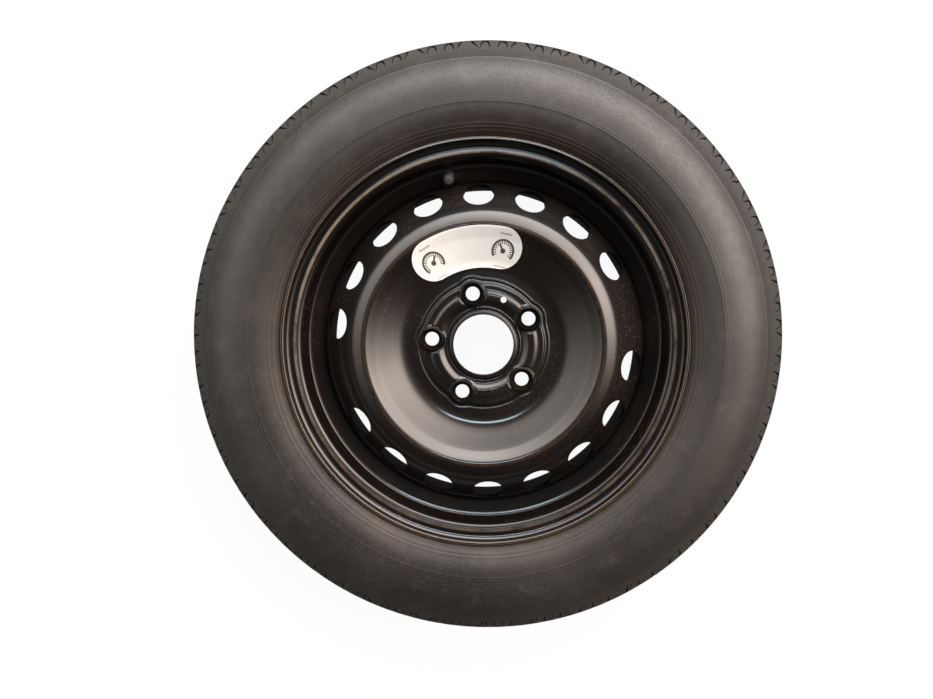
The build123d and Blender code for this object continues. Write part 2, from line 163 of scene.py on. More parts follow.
# Black stove enamel on the rim, disc and welds
enamel = {
    # the pale dust colour also paints highlights on the lip and the flange
    "black": (0.004, 0.003, 0.0026, 1), "haze": (0.011, 0.0078, 0.0062, 1), "dustAndHighlight": (0.2, 0.16, 0.12, 1),
    "worn": (0.03, 0.018, 0.011, 1), "rough": 0.45, "specular": 0.05, "coatRough": 0.14, "coatIor": 1.52,
    "scuffRadius": 0.1292, "scuffWidth": 0.0017, "ridge": (0.022, 0.025), "boltCircle": 0.05715, "bolts": 5,
    "seat": 0.0128, "padLine": 0.0788, "dustAndHighlightRadius": 0.2071, "lipRadius": 0.219, "lipGap": 0.0011,
    "lipHeight": (0.0195, 0.0205), "ledge": (0.1775, 0.1785, 0.1945, 0.1962),
    "flange": (0.2085, 0.2095, 0.2125, 0.2135), "grime": (0.2015, 0.2032, 0.2125, 0.2135),
}


def enamelFinish():
    made, wire, place = newFinish("blackEnamel")
    x, y, z = split(place)
    radius, angle = fromAxis(x, y), y.arctan(x)
    haze = place.noise(9, 4, 0.6).fade(0.42, 0.72)
    specks = place.noise(520, 1, 0.4).fade(0.735, 0.78) * place.noise(14, 2).fade(0.45, 0.65)
    brushed = wire.node("CombineXYZ", {}, {0: angle * 60, 1: radius * 500, 2: z * 40})
    ragged = (brushed.noise(1, 3, 0.7) - 0.5) * 0.006
    offLine = abs(radius - enamel["scuffRadius"] + ragged) / enamel["scuffWidth"]
    onRidge = z.fade(*enamel["ridge"])
    scuff = (1 - offLine.fade(0.5, 1.1)) * onRidge * place.noise(45, 3, 0.6).fade(0.3, 0.5)
    flecks = (1 - (offLine * 0.35).fade(0.5, 1.0)) * onRidge * brushed.noise(2.2, 2, 0.5).fade(0.66, 0.72)
    scratch = place.stretched(1, 1, 0.2).noise(900, 0).fade(0.74, 0.76) * haze * 0.4
    turn = angle * (enamel["bolts"] / (2 * math.pi)) + (10.5 - enamel["bolts"] / 4)
    off = (turn.fraction() - 0.5) * (2 * math.pi / enamel["bolts"]) * radius
    away = ((radius - enamel["boltCircle"]) ** 2 + off * off) ** 0.5
    seat = 1 - away.fade(enamel["seat"] - 0.001, enamel["seat"] + 0.001)
    ledge = radius.band(*enamel["ledge"])
    flat = radius.band(*enamel["flange"]) * 0.6
    grimy = abs(y).fade(0.08, 0.16) * radius.band(*enamel["grime"])
    # Painted highlight: two pale lines along the inner and outer edges of the rolled lip, on the outboard
    # side
    offLip = abs(abs(radius - enamel["lipRadius"]) - enamel["lipGap"])
    paintedLipGlint = (1 - offLip.fade(0.0002, 0.0006)) * z.fade(*enamel["lipHeight"])
    # A ring on the flange that is partly real dust and partly a painted highlight line
    offDustAndHighlight = abs(radius - enamel["dustAndHighlightRadius"])
    dustAndHighlightRing = (1 - offDustAndHighlight.fade(0.0008, 0.0024)) * place.noise(30, 4, 0.7).fade(0.25, 0.6)
    colour = (haze * 0.5).tint(enamel["black"], enamel["haze"])
    # real dust specks, scratches and paint flecks, together with the painted lip highlight, take the pale
    # dust colour
    colour = (specks * 0.2).most(scratch).most(flecks * 0.5).most(paintedLipGlint * 0.6).tint(colour, enamel["dustAndHighlight"])
    # the ring is painted paler towards the top, where the light falls: painted light
    colour = (dustAndHighlightRing * (0.3 + y.fade(-0.12, 0.16) * 0.55)).tint(colour, enamel["dustAndHighlight"])
    colour = (scuff * 0.8).tint(colour, enamel["worn"])
    edgeLine = 1 - abs(radius - enamel["padLine"]).fade(0.0002, 0.0009)
    peel = place.noise(420, 2, 0.5) * 0.7 + place.noise(70, 2) * 0.6 + scuff * 0.8 + edgeLine * 2.5
    gloss = (1 - scuff * 0.85) * (1 - seat * 0.8) * (1 - haze * 0.12)
    closeFinish(wire, {
        "Base Color": colour, "Roughness": enamel["rough"] + haze * 0.08 + specks * 0.2,
        "Specular IOR Level": enamel["specular"],
        "Coat Roughness": enamel["coatRough"], "Coat IOR": enamel["coatIor"],
        "Coat Weight": gloss * (1 - ledge) * (1 - flat) * (1 - dustAndHighlightRing * 0.5) * (1 - grimy * 0.6),
        "Normal": bumped(wire, peel, 0.04, 0.001),
    })
    return made


# Tyre rubber: near black with a satin sheen, brown dust by the rim, finely hatched on the outer sidewall
rubber = {
    "clean": (0.021, 0.0187, 0.0168, 1), "dark": (0.0098, 0.0084, 0.0075, 1),
    "dustAndHighlightRing": (0.072, 0.063, 0.054, 1), "brown": (0.05, 0.034, 0.024, 1),
    "shoulder": (0.036, 0.0345, 0.0335, 1), "rough": 0.58, "specular": 0.22, "coatRough": 0.4, "coatIor": 1.5,
    "outer": (0.251, 0.26), "tread": (0.3035, 0.312), "stain": (0.226, 0.256),
    "hatchBand": (0.258, 0.262, 0.3, 0.303), "hatchTurns": 900, "hatchPitch": 0.0021,
    "smoothTurns": (-0.71, -0.69, 0.47, 0.49),
}


def rubberFinish():
    made, wire, place = newFinish("tyreRubber")
    x, y, z = split(place)
    radius, angle = fromAxis(x, y), y.arctan(x)
    outer = radius.fade(*rubber["outer"])
    tread = radius.fade(*rubber["tread"])
    cloud = place.noise(7, 4, 0.6)
    streaks = place.noise(38, 5, 0.7)
    weave = wire.node("CombineXYZ", {}, {0: angle * 40, 1: radius * 300, 2: z * 60}).noise(1.0, 4, 0.75)
    grain = place.noise(900, 2, 0.6)
    colour = cloud.fade(0.35, 0.7).tint(rubber["dark"], rubber["clean"])
    colour = (tread * 0.7).tint(colour, rubber["shoulder"])
    mottle = streaks.fade(0.5, 0.75) * 0.25 + weave.fade(0.5, 0.72) * 0.3 + grain.fade(0.5, 0.7) * 0.36
    colour = mottle.tint(colour, rubber["dustAndHighlightRing"])
    stain = (1 - radius.fade(*rubber["stain"])) * place.noise(16, 4, 0.7).fade(0.3, 0.7)
    colour = (stain * 0.6).tint(colour, rubber["brown"])
    lines = (angle * rubber["hatchTurns"] + radius * 900).sine()
    rings = (radius * (2 * math.pi / rubber["hatchPitch"])).sine()
    band = radius.band(*rubber["hatchBand"])
    panel = angle.band(*rubber["smoothTurns"])
    hatch = band * (lines * 0.6 + rings * 0.4) * (1 - panel) * place.noise(24, 2).fade(0.3, 0.6)
    sheen = (0.34 + outer * 0.5) * (1 - tread * 0.75) * (0.55 + cloud * 0.4 + streaks * 0.3)
    closeFinish(wire, {
        "Base Color": colour, "Roughness": rubber["rough"] + (grain - 0.5) * 0.2 + weave * 0.04,
        "Specular IOR Level": rubber["specular"],
        "Coat Roughness": rubber["coatRough"], "Coat IOR": rubber["coatIor"],
        "Coat Weight": sheen * (1 - weave.fade(0.45, 0.7) * 0.45),
        "Normal": bumped(wire, hatch * 0.7 + grain * 0.6 + streaks * 0.4 + weave * 0.8, 0.35, 0.0006),
    })
    return made


# Sticker film: cream white, printed with two plain dials and short bars
sticker = {
    "film": (0.95, 0.945, 0.925, 1), "aged": (0.92, 0.905, 0.865, 1), "fleck": (0.3, 0.24, 0.17, 1),
    "ink": (0.022, 0.02, 0.02, 1), "paleInk": (0.42, 0.4, 0.36, 1), "soft": 0.2,
    "dials": ((109.3, 0.7), (66.5, -0.6)),           # bearing and lean of the needle
    "dialRadius": 103.5, "ring": 11.2, "line": 2.2, "tick": 3.8, "sweep": 2.2, "hub": (2.5, 2.9),
    "bars": (                                        # bearing, distance out from a dial, width and height
        (109.3, 17.4, 13.0, 1.9), (66.5, 17.4, 13.0, 1.9),
        (109.3, -16.6, 11.0, 1.6), (66.5, -16.6, 13.0, 1.6),
    ),
}


def inkBar(x, y, width, height):  # soft-edged bar about the local origin, in millimetres
    wide, tall, soft = width / 2, height / 2, sticker["soft"]
    return (1 - abs(x).fade(wide - soft, wide + soft)) * (1 - abs(y).fade(tall - soft, tall + soft))


def stickerPlace(x, y, turn, out):  # millimetres across and out from a spot on the sticker
    way = math.radians(turn)
    across = (x * math.sin(way) - y * math.cos(way)) * 1000
    return across, (x * math.cos(way) + y * math.sin(way)) * 1000 - out


def dialPrint(across, up, lean):  # ring, ticks, needle and hub
    reach = (across * across + up * up) ** 0.5
    bearing = across.arctan(up)                      # 0 at the top
    arc = 1 - abs(bearing).fade(sticker["sweep"], sticker["sweep"] + 0.05)
    half, ring, soft = sticker["line"] / 2, sticker["ring"], sticker["soft"]
    circle = (1 - abs(reach - ring).fade(half - soft, half + soft)) * arc
    beat = abs((bearing * (12 / math.pi) + 24.5).fraction() - 0.5) * reach * (math.pi / 12)
    foot = ring - sticker["tick"]
    ticks = (1 - beat.fade(0.4, 0.7)) * arc * reach.band(foot - soft, foot, ring - soft, ring)
    along = across * math.sin(lean) + up * math.cos(lean)
    aside = across * math.cos(lean) - up * math.sin(lean)
    needle = inkBar(aside, along - 3.4, 2.0, 9.6)
    return circle.most(ticks).most(needle).most(1 - reach.fade(*sticker["hub"]))


def stickerFinish():
    made, wire, place = newFinish("stickerFilm")
    x, y, _ = split(place)
    ink = pale = 0.0
    for turn, lean in sticker["dials"]:
        across, up = stickerPlace(x, y, turn, sticker["dialRadius"])
        ink = dialPrint(across, up, lean).most(ink)
    for turn, off, width, height in sticker["bars"]:
        across, up = stickerPlace(x, y, turn, sticker["dialRadius"] + off)
        pale = inkBar(across, up, width, height).most(pale)
    wear = place.noise(240, 3, 0.6)
    film = place.noise(30, 3).fade(0.3, 0.8).tint(sticker["film"], sticker["aged"])
    colour = (pale * 0.85).tint(film, sticker["paleInk"])
    colour = (ink * (0.95 - wear.fade(0.6, 0.8) * 0.2)).tint(colour, sticker["ink"])
    colour = (place.noise(700, 1).fade(0.74, 0.78) * 0.25).tint(colour, sticker["fleck"])
    closeFinish(wire, {
        "Base Color": colour, "Roughness": 0.4 + wear * 0.15,
        "Normal": bumped(wire, place.noise(160, 2), 0.05, 0.0006),
    })
    return made


# Small finishes: name, two colours, roughness, metal, grain scale and bump
smallFinishes = {
    "valveRubber": ((0.016, 0.015, 0.015, 1), (0.06, 0.052, 0.045, 1), 0.6, 0.0, 900, 0.3),
    "brass": ((0.62, 0.44, 0.18, 1), (0.4, 0.26, 0.1, 1), 0.3, 1.0, 700, 0.15),
    "springSteel": ((0.56, 0.56, 0.57, 1), (0.34, 0.33, 0.32, 1), 0.28, 1.0, 900, 0.1),
    "sealRubber": ((0.05, 0.02, 0.018, 1), (0.09, 0.04, 0.035, 1), 0.62, 0.0, 1200, 0.2),
    "capPlastic": ((0.012, 0.0115, 0.011, 1), (0.045, 0.041, 0.037, 1), 0.7, 0.0, 420, 0.3),
}


def smallFinish(name):
    first, second, rough, metal, scale, bump = smallFinishes[name]
    made, wire, place = newFinish(name)
    patch = place.noise(scale / 4, 4, 0.65).fade(0.4, 0.75)
    grain = place.noise(scale, 3, 0.6)
    closeFinish(wire, {
        "Base Color": patch.tint(first, second), "Roughness": rough + patch * 0.15 + (grain - 0.5) * 0.1,
        "Metallic": metal, "Normal": bumped(wire, grain, bump, 0.0004),
    })
    return made


finishes = {name: smallFinish(name) for name in smallFinishes}
finishes.update(enamel=enamelFinish(), rubber=rubberFinish(), sticker=stickerFinish())
print("finishes made:", ", ".join(finishes))


def eased(value):  # 0 to 1 with flat ends
    value = np.clip(value, 0, 1)
    return value * value * (3 - 2 * value)


def bentLine(corners, radii, step=9.0):  # corners joined by arcs
    corners = [np.array(corner, float) for corner in corners]
    line = [corners[0]]
    for before, corner, after, radius in zip(corners, corners[1:], corners[2:], radii):
        toBefore = (before - corner) / np.linalg.norm(before - corner)
        toAfter = (after - corner) / np.linalg.norm(after - corner)
        turn = math.pi - math.acos(np.clip(toBefore @ toAfter, -1, 1))
        middle = (toBefore + toAfter) / np.linalg.norm(toBefore + toAfter)
        centre = corner + middle * radius / math.cos(turn / 2)
        start = corner + toBefore * radius * math.tan(turn / 2) - centre
        end = corner + toAfter * radius * math.tan(turn / 2) - centre
        count = max(2, int(math.degrees(turn) / step) + 1)
        for part in np.linspace(0, 1, count + 1):
            swung = start * math.sin((1 - part) * turn) + end * math.sin(part * turn)
            line.append(centre + swung / math.sin(turn))
    line.append(corners[-1])
    return np.array(line)


def offsetLine(corners, radii, shift):  # corners moved to their left by shift
    corners = [np.array(corner, float) for corner in corners]
    runs = [(b - a) / np.linalg.norm(b - a) for a, b in zip(corners, corners[1:])]
    lefts = [np.array((-run[1], run[0])) for run in runs]
    moved, newRadii = [corners[0] + lefts[0] * shift], []
    for corner, one, two, radius in zip(corners[1:-1], lefts, lefts[1:], radii):
        moved.append(corner + (one + two) * shift / (1 + one @ two))
        newRadii.append(radius - shift if one[0] * two[1] - one[1] * two[0] > 0 else radius + shift)
    return moved + [corners[-1] + lefts[-1] * shift], newRadii


def refined(line, spacing):  # more points, no further apart than spacing(radius)
    out = [line[0]]
    for a, b in zip(line, line[1:]):
        count = max(1, math.ceil(np.linalg.norm(b - a) / spacing((a[0] + b[0]) / 2)))
        out += [a + (b - a) * (k + 1) / count for k in range(count)]
    return np.array(out)


def spin(line, count, closed=False):  # a radius and height line turned about the wheel's axis
    line = np.asarray(line, float)
    turn = np.linspace(0, 2 * math.pi, count, endpoint=False)
    radius, height = line.T
    points = np.stack([
        np.outer(radius, np.cos(turn)), np.outer(radius, np.sin(turn)), np.outer(height, np.ones(count)),
    ], -1)
    rows = len(line)
    i = np.arange(rows if closed else rows - 1)[:, None]
    j = np.arange(count)[None, :]
    near, far = (i % rows) * count, ((i + 1) % rows) * count
    faces = np.stack([near + j, near + (j + 1) % count, far + (j + 1) % count, far + j], -1)
    return points.reshape(-1, 3), faces.reshape(-1, 4).tolist()


def lofted(rings):  # a skin over a row of closed rings, with both ends shut
    count, width = rings.shape[:2]
    i = np.arange(count - 1)[:, None] * width
    j = np.arange(width)[None, :]
    k = (j + 1) % width
    faces = np.stack([i + j, i + k, i + width + k, i + width + j], -1).reshape(-1, 4).tolist()
    faces += [list(range(width)), list(range((count - 1) * width, count * width))]
    return rings.reshape(-1, 3), faces


def joined(*meshes):
    points, faces, start = [], [], 0
    for some, few in meshes:
        points.append(some)
        faces += [[start + k for k in face] for face in few]
        start += len(some)
    return np.concatenate(points), faces


def newMesh(name, points, faces, weld=0.0):
    mesh = bpy.data.meshes.new(name)
    mesh.from_pydata((np.asarray(points) * mm).tolist(), [], faces)
    work = bmesh.new()
    work.from_mesh(mesh)
    if weld:
        bmesh.ops.remove_doubles(work, verts=work.verts, dist=weld)
    bmesh.ops.recalc_face_normals(work, faces=work.faces)
    work.to_mesh(mesh)
    work.free()
    return mesh


def carved(mesh, cutters):  # mesh less the cutters
    block = bpy.data.objects.new("block", mesh)
    tool = bpy.data.objects.new("tool", cutters)
    for made in (block, tool):
        bpy.context.scene.collection.objects.link(made)
    cut = block.modifiers.new("cut", "BOOLEAN")
    cut.operation, cut.object, cut.solver = "DIFFERENCE", tool, "EXACT"
    done = bpy.data.meshes.new_from_object(block.evaluated_get(bpy.context.evaluated_depsgraph_get()))
    for made in (block, tool):
        bpy.data.objects.remove(made)
    return done


def addPiece(name, mesh, finish, body, node, crease=32):
    mesh.name = name
    mesh.materials.clear()
    mesh.materials.append(finishes[finish])
    mesh.polygons.foreach_set("use_smooth", [True] * len(mesh.polygons))
    mesh.set_sharp_from_angle(angle=math.radians(crease))
    piece = bpy.data.objects.new(name, mesh)
    bpy.context.scene.collection.objects.link(piece)
    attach(piece, body)
    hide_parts(node)
    print(name, "has", sum(len(face.vertices) - 2 for face in mesh.polygons), "triangles")
    return piece


# Rim: rolled sheet, drop centre
rim = {
    "seatRadius": 202.8, "width": 101.6, "middle": -40.0, "sheet": 2.6, "flange": 17.5, "curve": 9.5,
    "tip": 2.2, "heel": 5.0, "taper": 5.0, "seat": 15.0, "hump": 1.2, "humpWidth": 8.0, "humpRound": 4.0,
    "well": 21.3, "lean": 19.4, "ramp": 16.0, "wellTop": 7.0, "wellFloor": 5.0, "lipRound": 0.45,
    "valveHole": 5.75, "steps": 440,
}
lipRadius = rim["seatRadius"] + rim["flange"]
wellInner = rim["seatRadius"] - rim["well"] - rim["sheet"]


def rimSide(side):
    half, flange = rim["sheet"] / 2, rim["width"] / 2
    end = flange - rim["seat"]
    edge = rim["seatRadius"] - half - (rim["seat"] + half) * math.tan(math.radians(rim["taper"]))
    corners = [
        (lipRadius - half, flange + rim["curve"] + rim["tip"]), (lipRadius - half, flange + half),
        (rim["seatRadius"] - half, flange + half), (edge, end),
        (edge + rim["hump"], end - rim["humpWidth"] / 2), (edge, end - rim["humpWidth"]),
    ]
    return [(r, rim["middle"] + side * z) for r, z in corners]


outSide, inSide = rimSide(1), rimSide(-1)
wellMiddle = wellInner + rim["sheet"] / 2
wallTop = outSide[-1]
floorHeight = wallTop[1] - (wallTop[0] - wellMiddle) * math.tan(math.radians(rim["lean"]))
valveSpot = np.array((0, (wallTop[0] + wellMiddle) / 2, (wallTop[1] + floorHeight) / 2))
lean = math.radians(rim["lean"])
valveFrame = Matrix.Translation(valveSpot) @ Matrix.Rotation(lean, 4, "X")


def onValve(points):  # from the valve's own axis to its place in the rim
    turn = np.array(valveFrame.to_3x3())
    return np.asarray(points) @ turn.T + valveSpot


def roundedEnd(line, other, size):  # closes two sides of a sheet with a softened end
    a, b = line[-1], other[0]
    run = (line[-1] - line[-2]) / np.linalg.norm(line[-1] - line[-2])
    over = (b - a) / np.linalg.norm(b - a)
    bow = np.linspace(0, math.pi / 2, 5)[:, None]
    back, across = run * size * (1 - np.sin(bow)), over * size * (1 - np.cos(bow))
    first, last = a - back + across, (b - back - across)[::-1]
    return np.concatenate([line[:-1], first, last, other[1:]])


def sheetLoop(corners, radii, thickness, size, spacing, underSpacing):
    one = refined(bentLine(*offsetLine(corners, radii, thickness / 2)), spacing)
    two = refined(bentLine(*offsetLine(corners, radii, -thickness / 2)), underSpacing)[::-1]
    loop = roundedEnd(one, two, size)
    start = len(one) // 2
    loop = np.roll(loop, -start, axis=0)   # so that the other end is inside the list
    where = int(np.argmin(np.linalg.norm(loop - two[-1], axis=1)))
    return roundedEnd(loop[:where + 1], loop[where + 1:], size)


def buildRim():
    half = rim["sheet"] / 2
    radii = [rim["curve"] - half, rim["heel"] + half, rim["humpRound"], rim["humpRound"], rim["wellTop"]]
    corners = outSide + [(wellMiddle, floorHeight), (wellMiddle, inSide[-1][1] + rim["ramp"])] + inSide[::-1]
    radii = radii + [rim["wellFloor"], rim["wellFloor"]] + radii[::-1]
    loop = sheetLoop(corners, radii, rim["sheet"], rim["lipRound"], lambda r: 9, lambda r: 12)
    mesh = newMesh("rim", *spin(loop, rim["steps"], True))
    hole = spin([(0, -10), (rim["valveHole"], -10), (rim["valveHole"], 10), (0, 10)], 48)
    mesh = carved(mesh, newMesh("hole", onValve(hole[0]), hole[1], 1e-7))
    return addPiece("rimBand", mesh, "enamel", "wheel", "rim")


buildRim()


# Disc: pressed sheet with a bolt ring, a dish, a ridge and vents
disc = {
    "sheet": 4.0, "bore": 33.05, "collar": 9.0, "collarRound": 3.0, "lipFall": 0.36,
    "footRadius": 88.0, "dish": 31.0, "footRound": 28.0,
    "upperRadius": 117.0, "upper": 38.0, "upperRound": 25.0, "crownRadius": 128.4, "crownRound": 5.0,
    "browRadius": 141.0, "brow": 24.0, "browRound": 18.0,
    "flank": 40.8, "skirtRound": 18.0, "skirtEnd": -48.0, "gap": 0.05, "padFrom": 38.0, "padTo": 78.0,
    "boltCircle": 57.15, "bolts": 5, "boltHole": 7.7, "seatTop": 12.0, "seatAngle": 30.0, "bossTop": 5.5,
    "ringOuter": 70.5, "lobe": 16.8, "lobeBlend": 2.5, "ringRise": 4.4, "ringFall": 2.2,
    "pin": (3.3, 53.9, -36.0),            # the locating hole's radius, distance out and bearing
    "vent": 16.7, "ventCircle": 161.8, "ventPitch": 20.0, "ventsASide": 4, "steps": 480,
}


def fall(near, far, slope):  # height lost between two radii of the disc
    return (disc[far + "Radius"] - disc[near + "Radius"]) * math.tan(math.radians(disc[slope]))


upperHeight = disc["sheet"] / 2 + fall("foot", "upper", "dish")
crownHeight = upperHeight + fall("upper", "crown", "upper")
browHeight = crownHeight - fall("crown", "brow", "brow")


def boltPlace(x, y):  # radius, distance from the nearest bolt, and how far inside the lobed outline
    radius = np.hypot(x, y)
    pitch = 2 * math.pi / disc["bolts"]
    off = (np.arctan2(-x, y) + pitch / 2) % pitch - pitch / 2
    away = np.hypot(radius * np.cos(off) - disc["boltCircle"], radius * np.sin(off))
    plain, lobe, soft = disc["ringOuter"] - radius, disc["lobe"] - away, disc["lobeBlend"]
    inside = np.maximum(plain, lobe) + np.maximum(soft - abs(plain - lobe), 0) ** 2 / (4 * soft)
    return radius, away, inside


# Relief of the bolt ring: start and width of each slope; middle, width and height of each bead
relief = {
    "step": 0.45, "stepAt": (40.2, 0.9), "riseAt": (42.2, 8.6), "fallAt": (54.5, 6.5), "edgeAt": (1.4, 4.0),
    "edgeBead": (-1.4, 0.8, 0.55), "boreBead": (40.9, 0.5, 0.4), "beadGap": (15.0, 2.0), "seat": (17.0, 4.5),
    "seatFlat": 2.7, "flatAt": (39.5, 3.0), "boss": (14.0, 1.7), "hollow": 3.0, "hollowAt": (43.5, 6.0),
    "hollowEdge": (0.0, 5.2), "hollowSeat": (12.5, 3.0), "seatFill": 0.8,
}


def slope(value, start, width):  # 0 up to start, 1 a width further on
    return eased((value - start) / width)


def within(away, reach, width):  # 0 from reach outwards, 1 a width closer
    return eased((reach - away) / width)


def bead(value, at, width, height):
    return height * np.exp(-((value - at) / width) ** 2)


def hubRise(x, y):  # height of the bolt ring over the flat pad
    radius, away, inside = boltPlace(x, y)
    r = relief
    edge = slope(inside, *r["edgeAt"])
    ring = (disc["ringRise"] - r["step"]) * slope(radius, *r["riseAt"])
    ring += r["step"] * slope(radius, *r["stepAt"]) - disc["ringFall"] * slope(radius, *r["fallAt"])
    ring *= edge
    beads = bead(inside, *r["edgeBead"]) + bead(radius, *r["boreBead"])
    seat = within(away, *r["seat"])
    flat = r["seatFlat"] * edge * slope(radius, *r["flatAt"])
    boss = (disc["bossTop"] - r["seatFlat"]) * within(away, *r["boss"])
    return ring * (1 - seat) + flat * seat + boss + beads * (1 - within(away, *r["beadGap"]))


def hubHollow(x, y):  # the same ring pressed up from behind
    radius, away, inside = boltPlace(x, y)
    r = relief
    ring = r["hollow"] * slope(radius, *r["hollowAt"]) * slope(inside, *r["hollowEdge"])
    return ring * (1 - within(away, *r["hollowSeat"]) * r["seatFill"])


def buildDisc():
    skirt = wellInner - disc["gap"] - disc["sheet"] / 2
    half, bore = disc["sheet"] / 2, disc["bore"] + disc["sheet"] / 2
    low = browHeight - (skirt - disc["browRadius"]) * math.tan(math.radians(disc["flank"]))
    corners = [
        (bore, disc["collar"]), (bore, half), (disc["footRadius"], half), (disc["upperRadius"], upperHeight),
        (disc["crownRadius"], crownHeight), (disc["browRadius"], browHeight), (skirt, low),
        (skirt, disc["skirtEnd"]),
    ]
    radii = [disc[key + "Round"] for key in ("collar", "foot", "upper", "crown", "brow", "skirt")]
    padFrom, padTo = disc["padFrom"], disc["padTo"]
    loop = sheetLoop(
        corners, radii, disc["sheet"], 0.6,
        lambda r: 0.6 if padFrom < r < padTo else 7, lambda r: 2.2 if padFrom < r < padTo else 11,
    )
    points, faces = spin(loop, disc["steps"], True)
    x, y, z = points.T
    radius = np.hypot(x, y)
    pad = (radius > padFrom + 0.5) & (radius < padTo)
    top, under = pad & (abs(z - disc["sheet"]) < 0.2), pad & (abs(z) < 0.2)
    points[top, 2] += hubRise(x[top], y[top])
    points[under, 2] += hubHollow(x[under], y[under])
    lip = (radius < disc["bore"] + disc["sheet"] + 0.1) & (z > disc["collar"] - 1)
    points[lip, 2] -= (radius[lip] - disc["bore"]) * disc["lipFall"]
    mesh = newMesh("disc", points, faces)
    topHeight = disc["sheet"] + disc["bossTop"]
    coneFoot = topHeight - (disc["seatTop"] - disc["boltHole"]) / math.tan(math.radians(disc["seatAngle"]))
    cone = spin([
        (0, -12), (disc["boltHole"], -12), (disc["boltHole"], coneFoot), (disc["seatTop"], topHeight),
        (disc["seatTop"] + 0.7, topHeight + 0.3), (disc["seatTop"] + 0.7, 20), (0, 20),
    ], 72)
    drill = spin([(0, -12), (disc["pin"][0], -12), (disc["pin"][0], 12), (0, 12)], 40)
    vent = spin([(0, -9), (disc["vent"], -9), (disc["vent"], 9), (0, 9)], 72)
    cutters = []

    def placed(shape, turn, radius, height=0.0, tilt=0.0):
        swing = Matrix.Rotation(math.radians(90 + turn), 4, "Z")
        shift = Matrix.Translation((radius, 0, height))
        move = np.array(swing @ shift @ Matrix.Rotation(math.radians(tilt), 4, "Y"))
        cutters.append((shape[0] @ move[:3, :3].T + move[:3, 3], shape[1]))

    for index in range(disc["bolts"]):
        placed(cone, 360 / disc["bolts"] * index, disc["boltCircle"])
    placed(drill, disc["pin"][2], disc["pin"][1])
    ventDrop = (disc["ventCircle"] - disc["browRadius"]) * math.tan(math.radians(disc["flank"]))
    for facing in (0, 180):
        for index in range(2 * disc["ventsASide"]):
            turn = facing + disc["ventPitch"] * (index - disc["ventsASide"] + 0.5)
            placed(vent, turn, disc["ventCircle"], browHeight - ventDrop, disc["flank"])
    mesh = carved(mesh, newMesh("holes", *joined(*cutters), 1e-7))
    return addPiece("discPressing", mesh, "enamel", "wheel", "wheel_disc", 38)


buildDisc()


# Welds: four rippled runs in the corner under the skirt's end
weld = {"leg": 3.4, "span": 52.0, "count": 4, "ripple": 2.4, "depth": 0.14, "hollow": 0.22, "steps": 260}


def buildWelds():
    runs = []
    corner = np.array((wellInner - disc["gap"], disc["skirtEnd"]))
    length = math.radians(weld["span"]) * corner[0]
    for index in range(weld["count"]):
        turns = np.radians(np.linspace(0, weld["span"], weld["steps"]) + 90 * index)
        rows = []
        for step, turn in enumerate(turns):
            along = step / (weld["steps"] - 1) * length
            swell = 1 - weld["depth"] * (along / weld["ripple"] % 1) ** 2
            ease = min(1.0, 0.35 + min(along, length - along) / 4)
            ring = [corner]
            for t in np.linspace(0, math.pi / 2, 7):
                reach = weld["leg"] * swell * ease * (1 - weld["hollow"] * math.sin(2 * t))
                ring.append(corner - reach * np.array((math.cos(t), math.sin(t))))
            rows.append([(r * math.cos(turn), r * math.sin(turn), h) for r, h in ring])
        runs.append(lofted(np.array(rows)))
    mesh = newMesh("welds", *joined(*runs))
    return addPiece("weldRuns", mesh, "enamel", "wheel", "weld_beads", 45)


buildWelds()


# Tyre: sidewalls with fine rings, notched shoulders and three grooves
tyre = {
    "radius": 330.5, "section": 147.0, "widest": 253.0, "tread": 78.0, "crown": 200.0, "shoulder": 6.0,
    "buttress": 15.0, "buttressOut": 10.6, "step": 1.8, "beadRise": 3.2, "beadFit": 0.15, "beadWidth": 14.0,
    "wrap": 60.0, "coreHeight": 20.0, "coreWidth": 11.5, "wall": 5.5, "shoulderWall": 8.0, "treadWall": 10.5,
    "grooves": (-20.0, 0.0, 20.0), "grooveWidth": 6.0, "grooveDepth": 4.5, "groups": 35, "perGroup": 12,
    "notchFoot": 7.8, "notchTop": 17.4, "notchDepth": 4.2, "notchWidth": 2.2, "notchRadius": 322.0,
    "sipeDepth": 3.4, "sipeWidth": 1.2, "sideSteps": 200, "keepStep": 18,
    "arches": (0.24, 0.565),              # places within a group, as shares of its length, some with a lean
    "slashes": ((0.045, 1), (0.765, -1)), "shoulderSipes": (0.14, 0.405, 0.66, 0.9),
    "ribSipes": ((0.12, 1), (0.37, -1), (0.62, 1), (0.87, -1)),
    "rings": (                            # radius, half width and height
        (226.0, 0.9, 0.45), (229.4, 0.9, 0.4), (232.6, 0.7, 0.25),
        (253.6, 1.2, 0.3), (256.4, 0.9, 0.15), (303.4, 1.0, 0.2),
    ),
}
middle = rim["middle"]


def arcFlat(top, end, count):  # arc that starts level at its top and goes down to end
    run, drop = end[0] - top[0], top[1] - end[1]
    radius = (run * run + drop * drop) / (2 * drop)
    turn = np.linspace(0, math.copysign(math.acos(1 - drop / radius), run), count)
    return np.stack([top[0] + radius * np.sin(turn), top[1] - radius * (1 - np.cos(turn))], -1)


